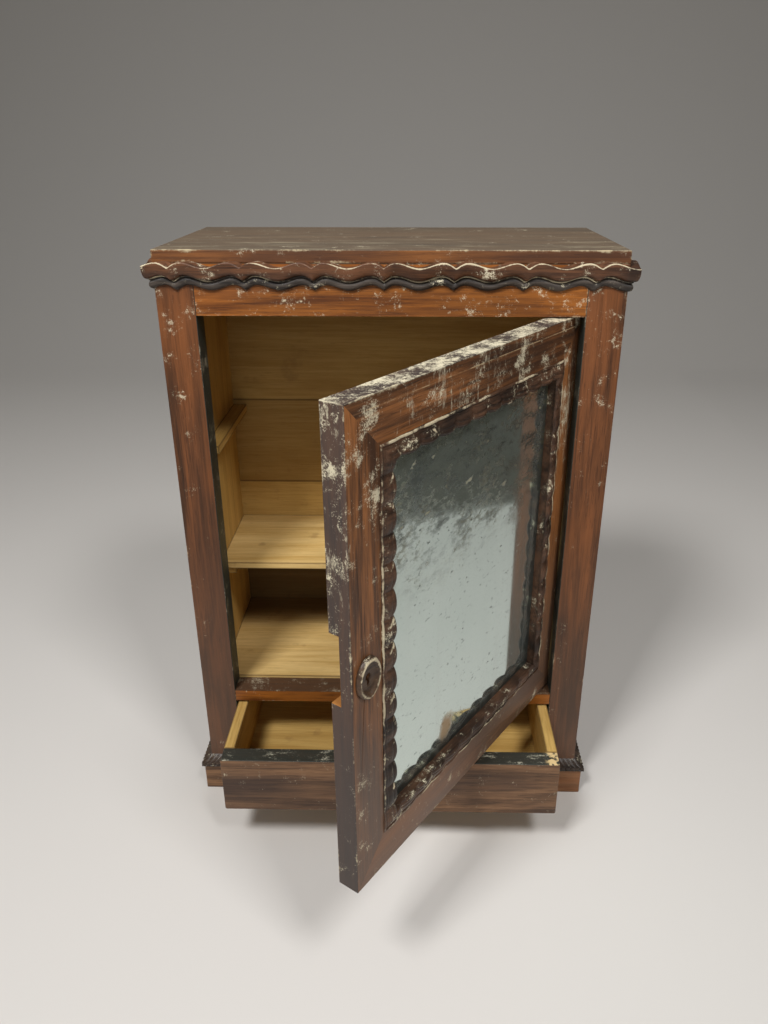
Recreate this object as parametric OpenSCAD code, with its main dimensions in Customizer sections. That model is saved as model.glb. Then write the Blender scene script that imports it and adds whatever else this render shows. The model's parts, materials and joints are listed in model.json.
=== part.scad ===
// Small wooden wall or table cabinet: mirror door on pin pivots, one drawer, one shelf.
// Millimetres, +Z up, X to the right, Y from the front to the back.
// The origin is the middle of the base rail's underside.

/* [Case] */
// Width across the face frame
case_w = 400; // [320:1:520]
// Height over the top board
case_h = 576; // [440:1:720]
// Depth from the face frame to the back of the back boards
case_d = 197; // [160:1:260]
// Thickness of the side panels
side_t = 15; // [10:1:20]
// Thickness of the back boards
back_t = 10; // [6:1:14]
// Thickness of the top board
top_t = 11; // [8:1:20]
// Thickness of the stiles and rails of the face frame
frame_t = 24; // [18:1:30]
// Width of the face frame's stiles
stile_w = 33.5; // [28:0.5:45]
// Height of the rail over the door
top_rail_h = 43.6; // [38:0.1:60]
// Height of the rail between door and drawer
mid_rail_h = 13.2; // [12:0.1:24]

/* [Plinth and cornice] */
// Height of the plinth
plinth_h = 32; // [20:1:60]
// Distance the plinth stands out from the case
plinth_out = 7; // [4:0.5:12]
// Height of the ribbed strip over the plinth
rib_h = 9.5; // [6:0.5:16]
// Extra distance the ribbed strip stands out past the plinth
rib_out = 2.5; // [1:0.5:5]
// Distance the upper wavy strip stands out
wave_out = 7.4; // [5:0.1:12]
// Length of one wave of the cornice
wave_pitch = 60.2; // [40:0.1:80]
// Distance of the wave's middle line under the top board
wave_drop = 0.6; // [0:0.1:4]
// Height of one wave of the cornice
wave_h = 4.4; // [2:0.1:7]
// Height of the upper wavy strip
wave_band = 10.9; // [8:0.1:16]
// Height of the lower beaded strip
bead_band = 8.4; // [6:0.1:14]

/* [Shelves] */
// Height of the shelf's top over the compartment floor
shelf_up = 116; // [60:1:200]
// Thickness of the shelf
shelf_t = 7; // [5:0.5:14]
// Distance from the face frame's front to the shelf's front
shelf_set = 64.5; // [40:0.5:100]
// Height of the empty upper bearers over the compartment floor
bearer_up = 255; // [180:1:330]
// Width of a shelf bearer
bearer_w = 15; // [8:1:20]
// Height of a shelf bearer
bearer_h = 8; // [6:1:16]

/* [Door] */
// Thickness of the door
door_t = 18.4; // [14:0.1:24]
// Distance of the closed door behind the face frame's front
door_set = 4.4; // [0:0.1:6]
// Opening angle of the door as it stands
door_angle = 55.7; // [0:0.1:98]
// Width of the flat part of the door's frame
door_flat = 34; // [28:0.5:45]
// Width planed off the door's hinge edge
door_trim = 4.9; // [0:0.1:8]
// Width of the ripple moulding
ripple_w = 15; // [10:0.5:20]
// Length of one ripple of the moulding
ripple_pitch = 21.8; // [12:0.1:30]
// Distance the moulding stands out from the door at its notches
ripple_notch = 1; // [0.4:0.1:1.8]
// Distance the moulding stands out from the door
ripple_out = 4; // [2:0.1:6]
// Depth of the mirror behind the door's front
mirror_set = 7; // [5:0.5:9]
// Thickness of the mirror
mirror_t = 3; // [2:0.5:4]
// Thickness of the board behind the mirror
backing_t = 4; // [3:0.5:5]
// Distance of the pivot from the door's hinge edge
pivot_in = 12.8; // [12:0.1:24]
// Radius of the pivot pins
pin_r = 2; // [1.5:0.1:3]

/* [Lock] */
// Height of the keyhole over the door's bottom edge
key_up = 193.5; // [80:0.5:300]
// Height of the empty lock recess
lock_h = 57; // [40:1:70]
// Depth of the lock recess from the free edge
lock_w = 28; // [20:1:30]
// Thickness of wood left in front of the lock recess
lock_skin = 10; // [6:0.5:12]

/* [Drawer] */
// Height of the drawer
drawer_h = 62; // [40:1:90]
// Thickness of the drawer's front
drawer_front_t = 18; // [12:1:24]
// Thickness of the drawer's sides
drawer_side_t = 10.5; // [8:0.5:14]
// Distance the drawer stands open
drawer_pull = 89; // [0:1:150]
// Height of the rail under the drawer
base_rail_h = 48.8; // [42:0.1:80]

/* [Hidden] */
$fn = 48;

// Clearances
side_gap = 1.9;         // drawer to stile
free_gap = 1.3;         // free edge of the door to its stile
hinge_gap = 1.6;        // hinge edge of the door to its stile
door_under = 1.4;       // door to the rail below it
door_over = 1.1;        // door to the rail above it
drawer_under = 1;       // drawer to the bottom board
drawer_over = 2.9;      // drawer to the rail above it
stop_gap = 0.35;        // closed door to the floor's front edge
pin_gap = 0.05;         // pin to its bore, measured on the radius
heel_gap = 0.5;         // door's heel to the stile while it turns

// Case
half_w = case_w / 2;
front_y = -frame_t / 2;
back_y = front_y + case_d;
inner_back_y = back_y - back_t;
open_w = case_w - 2 * stile_w;
inner_w = case_w - 2 * side_t;
wall_h = case_h - top_t;
open_top = wall_h - top_rail_h;
mid_rail_z = base_rail_h + drawer_under + drawer_h + drawer_over;
sill_z = mid_rail_z + mid_rail_h;
stop_h = 3;
floor_z = sill_z + stop_h;
floor_t = 8;
shelf_z = floor_z + shelf_up;
upper_z = floor_z + bearer_up;
joint_low_z = floor_z + (wall_h - floor_z) * 0.37;
joint_high_z = floor_z + (wall_h - floor_z) * 0.6;

// Door, drawn closed with its free edge at x = 0, its front at y = 0 and its foot at z = 0
door_w = open_w - free_gap - hinge_gap;
frame_w = door_w + door_trim;
door_h = open_top - sill_z - door_under - door_over;
door_x = -open_w / 2 + free_gap;
door_y = front_y + door_set;
door_z = sill_z + door_under;
member_w = door_flat + 6;
rabbet_w = 6;
pane_in = member_w - rabbet_w + 0.5;
pivot_x = door_x + door_w - pivot_in;
pivot_y = door_y + door_t / 2;
heel_r = pivot_in + hinge_gap - heel_gap;
sweep_r = norm([pivot_in, door_t / 2]) + 1;
plate_t = 2;
pin_reach = 9;

// Drawer, drawn closed with its front flush with the face frame
drawer_w = open_w - 2 * side_gap;
drawer_z = base_rail_h + drawer_under;
drawer_d = case_d - back_t - 5;
drawer_floor_z = drawer_z + 4;
drawer_floor_t = 5;
groove = 5;

// Cornice
wave_top = wall_h - wave_drop - wave_h / 2;
bead_out = [4.6, 3.2, 1.8];
cusp_x = -5;

walnut = [0.42, 0.25, 0.17];
dark = [0.24, 0.17, 0.13];
pine = [0.78, 0.62, 0.36];
steel = [0.35, 0.33, 0.3];

// ---------- shared shapes ----------

// Box between two corners
module block(low, high) {
    translate(low)
        cube(high - low);
}

// The same on the other side of the middle plane
module other_side() {
    mirror([1, 0, 0])
        children();
}

// Height of the wavy line at a place along the strip, from 0 at a cusp or a trough to wave_h
function wave(x) =
    let (turn = (x - cusp_x) / wave_pitch,
         part = turn - floor(turn),
         near = min(part, 1 - part))
    wave_h * (near < 1 / 6 ? sin(540 * near) : (1 + cos(540 * (near - 1 / 6))) / 2);

// Outline of a wavy band along X between two heights, from x0 or a little before it to x1 or a little past it
module wavy_band(x0, x1, low, high) {
    step = wave_pitch / 12;
    first = floor((x0 - cusp_x) / step);
    last = ceil((x1 - cusp_x) / step);
    polygon(concat(
        [for (i = [first:last]) [cusp_x + i * step, low + wave(cusp_x + i * step)]],
        [for (i = [last:-1:first]) [cusp_x + i * step, high + wave(cusp_x + i * step)]]
    ));
}

// Plan of the front strip: mitred at both corners of the case
module front_plan(out) {
    polygon([[-half_w, front_y], [-half_w - out, front_y - out],
             [half_w + out, front_y - out], [half_w, front_y]]);
}

// Plan of a side strip on the right: mitred at the front, square at the back
module side_plan(out) {
    polygon([[half_w, front_y], [half_w + out, front_y - out], [half_w + out, back_y], [half_w, back_y]]);
}

// Wavy strip on the front, standing out by out
module front_wave(out, low, high) {
    reach = half_w + out;
    intersection() {
        translate([0, front_y + 1, 0])
            rotate([90, 0, 0])
                linear_extrude(out + 2)
                    wavy_band(-reach - 1, reach + 1, low, high);
        translate([0, 0, low - 1])
            linear_extrude(high - low + wave_h + 2)
                front_plan(out);
    }
}

// Wavy strip on the right side; its wave runs on from place x of the front strip, at the corner
module side_wave(out, low, high, x) {
    intersection() {
        translate([half_w - 1, front_y - wave_out, 0])
            rotate([90, 0, 90])
                linear_extrude(out + 2)
                    translate([-x, 0])
                        wavy_band(x, x + case_d + wave_out, low, high);
        translate([0, 0, low - 1])
            linear_extrude(high - low + wave_h + 2)
                side_plan(out);
    }
}

// Round nail along Y, driven until its head is flush with the back
module nail(length) {
    rotate([90, 0, 0]) {
        cylinder(r = 0.9, h = length, $fn = 24);
        cylinder(r = 2.2, h = 0.8, $fn = 24);
    }
}

// ---------- case ----------

module side_panel() {
    color(walnut)
        block([half_w - side_t, front_y + frame_t, 0], [half_w, inner_back_y, wall_h]);
}

module side_left() {
    other_side()
        side_panel();
}

module side_right() {
    side_panel();
}

module stile() {
    color(walnut)
        block([half_w - stile_w, front_y, 0], [half_w, front_y + frame_t, wall_h]);
}

module stile_left() {
    other_side()
        stile();
}

module stile_right() {
    stile();
}

// Bore and recess that a rail has for a pivot plate; up is 1 over the door and -1 under it
module pivot_cut(z, up) {
    translate([pivot_x, pivot_y, z])
        mirror([0, 0, up > 0 ? 0 : 1]) {
            translate([-9, -6, -1])
                cube([18, 12, plate_t + 1]);
            translate([0, 0, -1])
                cylinder(r = pin_r + pin_gap, h = pin_reach + 2.5);
        }
}

module top_rail() {
    color(walnut)
        difference() {
            block([-open_w / 2, front_y, open_top], [open_w / 2, front_y + frame_t, wall_h]);
            pivot_cut(open_top, 1);
        }
}

module mid_rail() {
    color(walnut)
        difference() {
            block([-open_w / 2, front_y, mid_rail_z], [open_w / 2, front_y + frame_t, sill_z]);
            pivot_cut(sill_z, -1);
        }
}

module base_rail() {
    color(walnut)
        block([-open_w / 2, front_y, 0], [open_w / 2, front_y + frame_t, base_rail_h]);
}

module top_board() {
    color(walnut)
        block([-half_w, front_y, wall_h], [half_w, back_y, case_h]);
}

module back_board(low, high) {
    color(pine)
        block([-half_w, inner_back_y, low], [half_w, back_y, high]);
}

module back_lower() {
    back_board(0, joint_low_z);
}

module back_middle() {
    back_board(joint_low_z, joint_high_z);
}

module back_upper() {
    back_board(joint_high_z, wall_h);
}

// The floor's front edge stands above the sill and stops the closed door; its corner is cut for the heel
module compartment_floor() {
    stop_y = door_y + door_t + stop_gap;
    color(pine)
        difference() {
            union() {
                block([-inner_w / 2, front_y + frame_t, floor_z - floor_t], [inner_w / 2, inner_back_y, floor_z]);
                block([-open_w / 2, stop_y, sill_z], [open_w / 2, front_y + frame_t + 1, floor_z]);
            }
            translate([pivot_x, pivot_y, sill_z])
                cylinder(r = sweep_r, h = stop_h + 1);
            block([pivot_x, front_y, sill_z], [half_w, pivot_y + sweep_r, floor_z + 1]);
        }
}

module case_bottom() {
    color(pine)
        block([-inner_w / 2, front_y + frame_t, base_rail_h - 10], [inner_w / 2, inner_back_y, base_rail_h]);
}

module shelf() {
    color(pine)
        block([-inner_w / 2, front_y + shelf_set, shelf_z - shelf_t], [inner_w / 2, inner_back_y, shelf_z]);
}

module bearer(top, start) {
    color(pine)
        block([inner_w / 2 - bearer_w, front_y + start, top - bearer_h], [inner_w / 2, inner_back_y, top]);
}

module shelf_bearer_left() {
    other_side()
        bearer(shelf_z - shelf_t, shelf_set + 4);
}

module shelf_bearer_right() {
    bearer(shelf_z - shelf_t, shelf_set + 4);
}

module upper_bearer_left() {
    other_side()
        bearer(upper_z, 45);
}

module upper_bearer_right() {
    bearer(upper_z, 45);
}

module drawer_guide() {
    color(pine)
        block([open_w / 2, front_y + frame_t, base_rail_h], [inner_w / 2, inner_back_y, base_rail_h + 20]);
}

module drawer_guide_left() {
    other_side()
        drawer_guide();
}

module drawer_guide_right() {
    drawer_guide();
}

// Upper strip: a wavy fascia with a stepped foot
module wave_front() {
    color(walnut) {
        front_wave(wave_out, wave_top - wave_band * 0.72, wave_top);
        front_wave(wave_out * 0.7, wave_top - wave_band, wave_top - wave_band * 0.72);
    }
}

module wave_side(x) {
    color(walnut) {
        side_wave(wave_out, wave_top - wave_band * 0.72, wave_top, x);
        side_wave(wave_out * 0.7, wave_top - wave_band, wave_top - wave_band * 0.72, x);
    }
}

module wave_left() {
    other_side()
        wave_side(2 * cusp_x + half_w + wave_out);
}

module wave_right() {
    wave_side(half_w + wave_out);
}

// Lower strip: three stepped beads in the same wave
function bead_low(i) = wave_top - wave_band - bead_band * (i + 1) / 3;

module bead_front() {
    color(dark)
        for (i = [0:2])
            front_wave(bead_out[i], bead_low(i), bead_low(i) + bead_band / 3);
}

module bead_side(x) {
    color(dark)
        for (i = [0:2])
            side_wave(bead_out[i], bead_low(i), bead_low(i) + bead_band / 3, x);
}

module bead_left() {
    other_side()
        bead_side(2 * cusp_x + half_w + wave_out);
}

module bead_right() {
    bead_side(half_w + wave_out);
}

// ---------- plinth ----------

module plinth_front() {
    color(walnut)
        linear_extrude(plinth_h)
            front_plan(plinth_out);
}

module plinth_side() {
    color(walnut)
        linear_extrude(plinth_h)
            side_plan(plinth_out);
}

module plinth_left() {
    other_side()
        plinth_side();
}

module plinth_right() {
    plinth_side();
}

// Profile of the ribbed strip: out from the case, then up
module rib_profile() {
    out = plinth_out + rib_out;
    polygon([[0, plinth_h], [out, plinth_h], [out, plinth_h + rib_h * 0.45], [0, plinth_h + rib_h]]);
}

module rib_front() {
    out = plinth_out + rib_out;
    reach = half_w + out + 1;
    color(dark)
        intersection() {
            translate([-reach, front_y, 0])
                rotate([90, 0, 90])
                    linear_extrude(2 * reach)
                        mirror([1, 0])
                            rib_profile();
            translate([0, 0, plinth_h - 1])
                linear_extrude(rib_h + 2)
                    front_plan(out);
        }
}

module rib_side() {
    out = plinth_out + rib_out;
    color(dark)
        intersection() {
            translate([half_w, back_y, 0])
                rotate([90, 0, 0])
                    linear_extrude(case_d + out + 1)
                        rib_profile();
            translate([0, 0, plinth_h - 1])
                linear_extrude(rib_h + 2)
                    side_plan(out);
        }
}

module rib_left() {
    other_side()
        rib_side();
}

module rib_right() {
    rib_side();
}

// Nails through the back boards into the side panels, three to a board
module back_nails() {
    spans = [[0, joint_low_z], [joint_low_z, joint_high_z], [joint_high_z, wall_h]];
    color(steel)
        for (side = [-1, 1], span = spans, part = [0.15, 0.5, 0.85])
            translate([side * (half_w - side_t / 2), back_y, span[0] + (span[1] - span[0]) * part])
                nail(back_t + 14);
}

// Plate let into a rail, with the bore that the pivot pin turns in
module pivot_plate(z, up) {
    color(steel)
        translate([pivot_x, pivot_y, z])
            mirror([0, 0, up > 0 ? 0 : 1])
                difference() {
                    translate([-9, -6, 0])
                        cube([18, 12, plate_t]);
                    translate([0, 0, -1])
                        cylinder(r = pin_r + pin_gap, h = plate_t + 2);
                }
}

module pivot_plate_top() {
    pivot_plate(open_top, 1);
}

module pivot_plate_bottom() {
    pivot_plate(sill_z, -1);
}

// ---------- door ----------

// Puts what is drawn on the closed door where the door stands
module on_door() {
    translate([pivot_x, pivot_y, 0])
        rotate([0, 0, door_angle])
            translate([door_x - pivot_x, door_y - pivot_y, door_z])
                children();
}

// Turns a piece drawn for the free side to another side of the door
module for_side(side) {
    if (side == "free")
        children();
    if (side == "hinge")
        translate([frame_w, 0, 0])
            mirror([1, 0, 0])
                children();
    if (side == "bottom")
        mirror([1, 0, -1])
            children();
    if (side == "top")
        translate([0, 0, door_h])
            mirror([0, 0, 1])
                mirror([1, 0, -1])
                    children();
}

// Outline with mitred ends between two distances from the edge, on a side of the given length
module mitred(length, near, far) {
    polygon([[near, near], [near, length - near], [far, length - far], [far, far]]);
}

// Stands a drawn outline up in the door, from depth y0 to depth y1
module in_door(y0, y1) {
    translate([0, y1, 0])
        rotate([90, 0, 0])
            linear_extrude(y1 - y0)
                children();
}

// One side of the door's frame, with the rabbet for the mirror
module member(length) {
    in_door(0, mirror_set)
        mitred(length, 0, member_w);
    in_door(mirror_set, door_t)
        mitred(length, 0, member_w - rabbet_w);
}

// What comes off the hinge edge: the planed strip, and the front corner outside the round heel
module heel_waste() {
    block([door_w, -1, -1], [frame_w + 1, door_t + 1, door_h + 1]);
    translate([door_w - pivot_in, door_t / 2, -1])
        difference() {
            translate([0, -door_t, 0])
                cube([2 * pivot_in, door_t, door_h + 2]);
            translate([0, 0, -1])
                cylinder(r = heel_r, h = door_h + 4);
        }
}

module plate_recess(z, up) {
    translate([door_w - pivot_in, door_t / 2, z])
        mirror([0, 0, up > 0 ? 0 : 1])
            translate([-9, -6, -plate_t])
                cube([18, 12, plate_t + 1]);
}

// The free stile has the keyhole and the broken-out lock recess
module door_stile_free() {
    on_door()
        color(walnut)
            difference() {
                member(door_h);
                block([-1, lock_skin, key_up - lock_h * 0.35], [lock_w, door_t + 1, key_up + lock_h * 0.65]);
                translate([door_flat / 2, -1, key_up]) {
                    rotate([-90, 0, 0])
                        cylinder(r = 2.6, h = door_t);
                    block([-1.3, 0, -8], [1.3, door_t, 0]);
                }
            }
}

module door_stile_hinge() {
    on_door()
        color(walnut)
            difference() {
                for_side("hinge")
                    member(door_h);
                heel_waste();
            }
}

module door_rail_top() {
    on_door()
        color(walnut)
            difference() {
                for_side("top")
                    member(frame_w);
                heel_waste();
                plate_recess(door_h, 1);
            }
}

module door_rail_bottom() {
    on_door()
        color(walnut)
            difference() {
                for_side("bottom")
                    member(frame_w);
                heel_waste();
                plate_recess(0, -1);
            }
}

// Outline of a ripple strip along Z: flat on the door, scalloped outwards to a share of its full height
module rippled(length, share) {
    run = length - 2 * door_flat;
    count = round(run / ripple_pitch);
    steps = count * 6;
    polygon(concat(
        [[0, door_flat], [0, length - door_flat]],
        [for (i = [steps:-1:0])
            [-share * (ripple_notch + (ripple_out - ripple_notch) * abs(sin(30 * i))), door_flat + run * i / steps]]
    ));
}

// Carries an outline of depth and height across the door's frame, from x0 to x1
module across(x0, x1) {
    translate([x0, 0, 0])
        rotate([90, 0, 90])
            linear_extrude(x1 - x0)
                children();
}

// Ripple moulding round the mirror: planted over the frame's edge and down to the glass
module ripple(length) {
    far = door_flat + ripple_w;
    intersection() {
        union() {
            across(door_flat, far)
                rippled(length, 0.6);
            across(door_flat + 3, far - 3)
                rippled(length, 1);
            in_door(0, mirror_set)
                mitred(length, member_w, far - 1);
        }
        in_door(-ripple_out - 1, mirror_set + 1)
            mitred(length, door_flat, far + 1);
    }
}

module ripple_free() {
    on_door()
        color(dark)
            ripple(door_h);
}

module ripple_hinge() {
    on_door()
        color(dark)
            for_side("hinge")
                ripple(door_h);
}

module ripple_top() {
    on_door()
        color(dark)
            for_side("top")
                ripple(frame_w);
}

module ripple_bottom() {
    on_door()
        color(dark)
            for_side("bottom")
                ripple(frame_w);
}

module mirror_glass() {
    on_door()
        color([0.75, 0.8, 0.78])
            block([pane_in, mirror_set, pane_in], [frame_w - pane_in, mirror_set + mirror_t, door_h - pane_in]);
}

module backing_board() {
    depth = mirror_set + mirror_t;
    on_door()
        color(pine)
            block([pane_in, depth, pane_in], [frame_w - pane_in, depth + backing_t, door_h - pane_in]);
}

// Brads driven into the rabbet's walls to hold the backing board
module backing_nails() {
    depth = mirror_set + mirror_t + backing_t + 0.8;
    edge = member_w - rabbet_w;
    on_door()
        color(steel) {
            for (side = [0, 1], part = [0.2, 0.5, 0.8])
                translate([side * frame_w + (1 - 2 * side) * (edge - 6), depth, door_h * part])
                    rotate([0, side == 0 ? 90 : -90, 0])
                        cylinder(r = 0.8, h = 10, $fn = 24);
            for (side = [0, 1], part = [0.3, 0.7])
                translate([frame_w * part, depth, side * door_h + (1 - 2 * side) * (edge - 6)])
                    rotate([side == 0 ? 0 : 180, 0, 0])
                        cylinder(r = 0.8, h = 10, $fn = 24);
        }
}

// Outline of an oval
module oval(wide, tall) {
    polygon([for (a = [0:10:350]) [wide / 2 * cos(a), tall / 2 * sin(a)]]);
}

// Carved oval keyhole plate on the free stile
module escutcheon() {
    on_door()
        color(dark)
            translate([door_flat / 2, 0, key_up - 1])
                difference() {
                    union() {
                        in_door(-2, 0)
                            oval(26, 34);
                        in_door(-4, -2)
                            oval(23, 31);
                    }
                    in_door(-5, -1.5)
                        oval(16, 23);
                    translate([0, -6, 1]) {
                        rotate([-90, 0, 0])
                            cylinder(r = 2.6, h = 8);
                        block([-1.3, 0, -8], [1.3, 8, 0]);
                    }
                }
}

// Plate let into the door's edge, with the pin that turns in the rail
module hinge_pin(z, up) {
    on_door()
        color(steel)
            translate([door_w - pivot_in, door_t / 2, z])
                mirror([0, 0, up > 0 ? 0 : 1]) {
                    translate([-9, -6, -plate_t])
                        cube([18, 12, plate_t]);
                    translate([0, 0, -plate_t])
                        cylinder(r = pin_r, h = plate_t + pin_reach);
                }
}

module hinge_pin_top() {
    hinge_pin(door_h, 1);
}

module hinge_pin_bottom() {
    hinge_pin(0, -1);
}

// Washer on the lower pin, between the door's foot and the sill
module pivot_washer() {
    on_door()
        color(steel)
            translate([door_w - pivot_in, door_t / 2, -0.8])
                difference() {
                    cylinder(r = 5, h = 0.8);
                    translate([0, 0, -1])
                        cylinder(r = pin_r + pin_gap, h = 3);
                }
}

// ---------- drawer ----------

// Puts what is drawn on the closed drawer where the drawer stands
module on_drawer() {
    translate([0, front_y - drawer_pull, drawer_z])
        children();
}

module drawer_front() {
    on_drawer()
        color(walnut)
            difference() {
                block([-drawer_w / 2, 0, 0], [drawer_w / 2, drawer_front_t, drawer_h]);
                block([-drawer_w / 2 + groove, drawer_front_t - groove, 4],
                      [drawer_w / 2 - groove, drawer_front_t + 1, 4 + drawer_floor_t]);
            }
}

module drawer_side() {
    inner = drawer_w / 2 - drawer_side_t;
    color(pine)
        difference() {
            block([inner, drawer_front_t, 0], [drawer_w / 2, drawer_d, drawer_h]);
            block([inner - 1, drawer_front_t - 1, 4],
                  [inner + drawer_side_t - groove, drawer_d + 1, 4 + drawer_floor_t]);
        }
}

module drawer_side_left() {
    on_drawer()
        other_side()
            drawer_side();
}

module drawer_side_right() {
    on_drawer()
        drawer_side();
}

module drawer_back() {
    inner = drawer_w / 2 - drawer_side_t;
    on_drawer()
        color(pine)
            block([-inner, drawer_d - 9, 4 + drawer_floor_t], [inner, drawer_d, drawer_h - 5]);
}

module drawer_bottom() {
    play = 0.2;
    reach = drawer_w / 2 - groove - play;
    on_drawer()
        color(pine)
            block([-reach, drawer_front_t - groove + play, 4], [reach, drawer_d, 4 + drawer_floor_t]);
}

// Nails through the drawer's sides into its back
module drawer_nails() {
    on_drawer()
        color(steel)
            for (side = [-1, 1], part = [0.35, 0.75])
                translate([side * drawer_w / 2, drawer_d - 4.5, drawer_h * part])
                    rotate([0, -90 * side, 0])
                        cylinder(r = 1, h = drawer_side_t + 8, $fn = 24);
}

side_left();
side_right();
stile_left();
stile_right();
top_rail();
mid_rail();
base_rail();
top_board();
back_lower();
back_middle();
back_upper();
compartment_floor();
case_bottom();
shelf();
shelf_bearer_left();
shelf_bearer_right();
upper_bearer_left();
upper_bearer_right();
drawer_guide_left();
drawer_guide_right();
wave_front();
wave_left();
wave_right();
bead_front();
bead_left();
bead_right();
plinth_front();
plinth_left();
plinth_right();
rib_front();
rib_left();
rib_right();
back_nails();
pivot_plate_top();
pivot_plate_bottom();
door_stile_free();
door_stile_hinge();
door_rail_top();
door_rail_bottom();
ripple_free();
ripple_hinge();
ripple_top();
ripple_bottom();
mirror_glass();
backing_board();
backing_nails();
escutcheon();
hinge_pin_top();
hinge_pin_bottom();
pivot_washer();
drawer_front();
drawer_side_left();
drawer_side_right();
drawer_back();
drawer_bottom();
drawer_nails();
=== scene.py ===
"""Old wooden cabinet with a mirror door and one drawer. Metres, +Z up, -Y to the front.

The boards come from the frame and keep their shapes, with rounded arrises and a worn finish each.
The mouldings, the ribbed strips and the keyhole ring are surfaces worked out here.
"""

import json
import math

import bpy
import numpy as np
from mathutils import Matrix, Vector

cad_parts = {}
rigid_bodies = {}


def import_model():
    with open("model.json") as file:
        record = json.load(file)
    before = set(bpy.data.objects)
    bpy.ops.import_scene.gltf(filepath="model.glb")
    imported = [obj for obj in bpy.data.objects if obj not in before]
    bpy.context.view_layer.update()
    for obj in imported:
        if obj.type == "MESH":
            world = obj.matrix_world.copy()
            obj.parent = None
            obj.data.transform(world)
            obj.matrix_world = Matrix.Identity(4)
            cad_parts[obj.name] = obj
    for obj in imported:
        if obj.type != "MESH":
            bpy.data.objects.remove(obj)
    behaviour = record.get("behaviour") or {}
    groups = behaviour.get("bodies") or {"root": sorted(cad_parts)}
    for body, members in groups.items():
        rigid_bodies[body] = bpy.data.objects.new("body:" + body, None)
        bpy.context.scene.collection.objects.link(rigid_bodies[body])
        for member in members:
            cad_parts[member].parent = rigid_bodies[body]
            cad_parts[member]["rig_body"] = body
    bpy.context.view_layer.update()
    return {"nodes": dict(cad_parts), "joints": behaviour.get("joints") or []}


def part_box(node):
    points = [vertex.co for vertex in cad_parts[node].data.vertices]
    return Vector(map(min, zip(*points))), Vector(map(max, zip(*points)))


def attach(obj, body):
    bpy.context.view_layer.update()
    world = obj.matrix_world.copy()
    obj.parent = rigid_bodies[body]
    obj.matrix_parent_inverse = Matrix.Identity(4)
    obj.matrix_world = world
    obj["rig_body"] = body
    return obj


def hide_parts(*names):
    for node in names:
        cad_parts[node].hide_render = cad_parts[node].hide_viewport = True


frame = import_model()
MM = 0.001

# ---------- the frame's sizes ----------

SIDES = ("left", "right")
door_joint = next(j for j in frame["joints"] if j["name"] == "door_hinge")
PIVOT = np.array(door_joint["pos_m"][:2])
DOOR_TURN = -math.radians(door_joint["range_deg"][0])
CASE_LOW, CASE_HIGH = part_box("stile_left")[0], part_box("stile_right")[1]
FRONT_Y = CASE_LOW.y
BACK_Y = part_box("back_lower")[1].y
HALF_W = CASE_HIGH.x


def turned(points, angle):
    """Points turned about the door's pivot line by an angle, seen from above."""
    c, s = math.cos(angle), math.sin(angle)
    flat = points[..., :2] - PIVOT
    out = points.copy()
    out[..., 0] = PIVOT[0] + c * flat[..., 0] - s * flat[..., 1]
    out[..., 1] = PIVOT[1] + s * flat[..., 0] + c * flat[..., 1]
    return out


def closed_box(node):
    """Lowest and highest corner of a node, with a door's node turned back to the closed door."""
    mesh = frame["nodes"][node].data
    points = np.empty(len(mesh.vertices) * 3, np.float32)
    mesh.vertices.foreach_get("co", points)
    points = points.reshape(-1, 3).astype(float)
    if frame["nodes"][node]["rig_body"] == "door":
        points = turned(points, -DOOR_TURN)
    return points.min(0), points.max(0)


# ---------- shader building blocks ----------


def srgb(red, green, blue):
    """Linear colour from the 0 to 255 values that a paint chart gives."""
    parts = [(v / 255 / 12.92) if v < 10.3 else ((v / 255 + 0.055) / 1.055) ** 2.4 for v in (red, green, blue)]
    return (*parts, 1.0)


class Graph:
    """Adds nodes to one tree and joins them."""

    def __init__(self, tree):
        self.tree = tree

    def feed(self, socket, value):
        if isinstance(value, bpy.types.NodeSocket):
            self.tree.links.new(value, socket)
        else:
            socket.default_value = value

    def add(self, kind, inputs=(), **settings):
        node = self.tree.nodes.new(kind if kind.startswith("NodeGroup") else "ShaderNode" + kind)
        for key, value in settings.items():
            setattr(node, key, value)
        for key, value in dict(inputs).items():
            self.feed(node.inputs[key], value)
        return node

    def math(self, operation, first, second=0.0):
        return self.add("Math", {0: first, 1: second}, operation=operation).outputs[0]

    def vector(self, operation, first, second=(0, 0, 0)):
        return self.add("VectorMath", {0: first, 1: second}, operation=operation).outputs[0]

    def step(self, value, low, high, to_low=0.0, to_high=1.0):
        """Smooth step of a value from to_low at low to to_high at high."""
        inputs = {"Value": value, "From Min": low, "From Max": high, "To Min": to_low, "To Max": to_high}
        return self.add("MapRange", inputs, interpolation_type="SMOOTHSTEP").outputs[0]

    def mix(self, share, first, second, blend="MIX"):
        return self.add("Mix", {0: share, 6: first, 7: second}, data_type="RGBA", blend_type=blend).outputs[2]

    def blend(self, share, first, second):
        return self.add("Mix", {0: share, 2: first, 3: second}, data_type="FLOAT").outputs[0]

    def noise(self, vector, scale, detail=2.0, roughness=0.5, distortion=0.0):
        inputs = {"Vector": vector, "Scale": scale, "Detail": detail, "Roughness": roughness}
        return self.add("TexNoise", inputs | {"Distortion": distortion}).outputs[0]

    def use(self, group, inputs):
        return self.add("Group", inputs, node_tree=group)


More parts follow.
